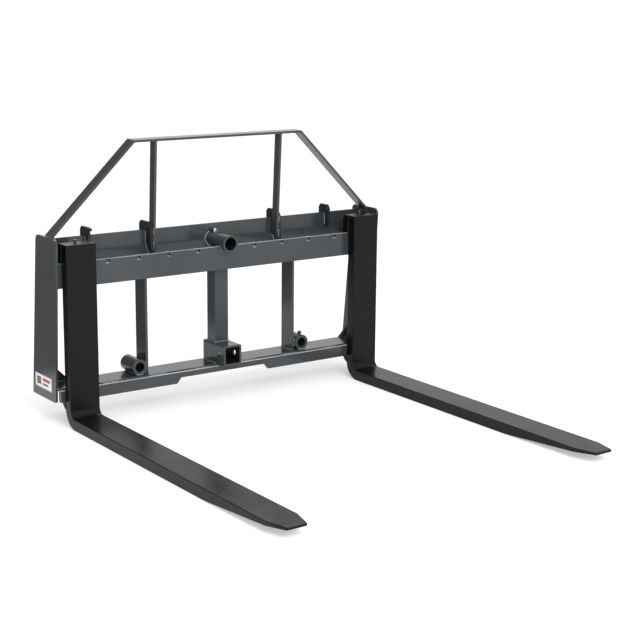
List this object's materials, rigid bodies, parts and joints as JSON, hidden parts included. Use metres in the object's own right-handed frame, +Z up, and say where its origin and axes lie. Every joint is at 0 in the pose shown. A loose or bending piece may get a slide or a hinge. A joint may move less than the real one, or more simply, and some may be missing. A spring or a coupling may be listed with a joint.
{
  "type": "pallet fork attachment",
  "caption": "Skid-steer pallet fork frame with two L-shaped forks that slide along its bars and pin into notches, a load guard hoop, spear sleeves and a receiver tube.",
  "frame": {"origin": "centre of the whole attachment's footprint, on the ground under the fork blades", "axes": "+X along the frame to the operator's right, seen from behind the load; +Y from the fork tips towards the loader; +Z up"},
  "size_m": [1.1518, 1.2917, 0.8186],
  "materials": {
    "frame_paint": "dark grey satin powder coat",
    "fork_paint": "black semi-gloss paint",
    "pin_steel": "dull dark steel",
    "screw_zinc": "bright zinc-plated steel",
    "screw_black": "black oxide",
    "label": "matte vinyl decal with no lettering"
  },
  "bodies": {
    "frame": {"left_end_plate": "frame_paint", "right_end_plate": "frame_paint", "upper_fork_bar": "frame_paint", "lower_fork_bar": "frame_paint", "rear_plate": "frame_paint", "coupler_hook_lip": "frame_paint", "lower_rail": "frame_paint", "coupler_bottom_flange": "frame_paint", "left_upright": "frame_paint", "right_upright": "frame_paint", "centre_post": "frame_paint", "receiver_tube": "frame_paint", "main_spear_sleeve": "frame_paint", "left_stabiliser_sleeve": "frame_paint", "right_stabiliser_sleeve": "frame_paint", "left_inner_ear": "frame_paint", "right_inner_ear": "frame_paint", "left_outer_ear": "frame_paint", "right_outer_ear": "frame_paint", "guard_hoop": "frame_paint", "left_guard_bar": "frame_paint", "right_guard_bar": "frame_paint", "left_corner_gusset": "frame_paint", "right_corner_gusset": "frame_paint", "data_plate": "label"},
    "left_fork": {"left_fork_tine": "fork_paint", "left_upper_hook": "fork_paint", "left_lower_hook": "fork_paint"},
    "left_pin": {"left_lock_pin": "pin_steel", "left_lock_knob": "pin_steel"},
    "right_fork": {"right_fork_tine": "fork_paint", "right_upper_hook": "fork_paint", "right_lower_hook": "fork_paint"},
    "right_pin": {"right_lock_pin": "pin_steel", "right_lock_knob": "pin_steel"},
    "main_screw": {"main_set_screw": "screw_zinc"},
    "right_screw": {"right_set_screw": "screw_black"}
  },
  "joints": [
    {"name": "left_fork_slide", "type": "slide", "parent": "frame", "child": "left_fork", "axis": [1, 0, 0], "range_m": [0, 0.4064]},
    {"name": "right_fork_slide", "type": "slide", "parent": "frame", "child": "right_fork", "axis": [1, 0, 0], "range_m": [-0.4064, 0]},
    {"name": "left_pin_lift", "type": "slide", "parent": "left_fork", "child": "left_pin", "axis": [0, 0, 1], "range_m": [-0.0055, 0]},
    {"name": "right_pin_lift", "type": "slide", "parent": "right_fork", "child": "right_pin", "axis": [0, 0, 1], "range_m": [-0.0055, 0]},
    {"name": "main_screw_turn", "type": "hinge", "parent": "frame", "child": "main_screw", "pos_m": [0, 0.5465, 0.52], "axis": [0, 0, 1], "continuous": true},
    {"name": "right_screw_turn", "type": "hinge", "parent": "frame", "child": "right_screw", "pos_m": [0.2957, 0.507, 0.16], "axis": [0, 0, 1], "continuous": true}
  ]
}
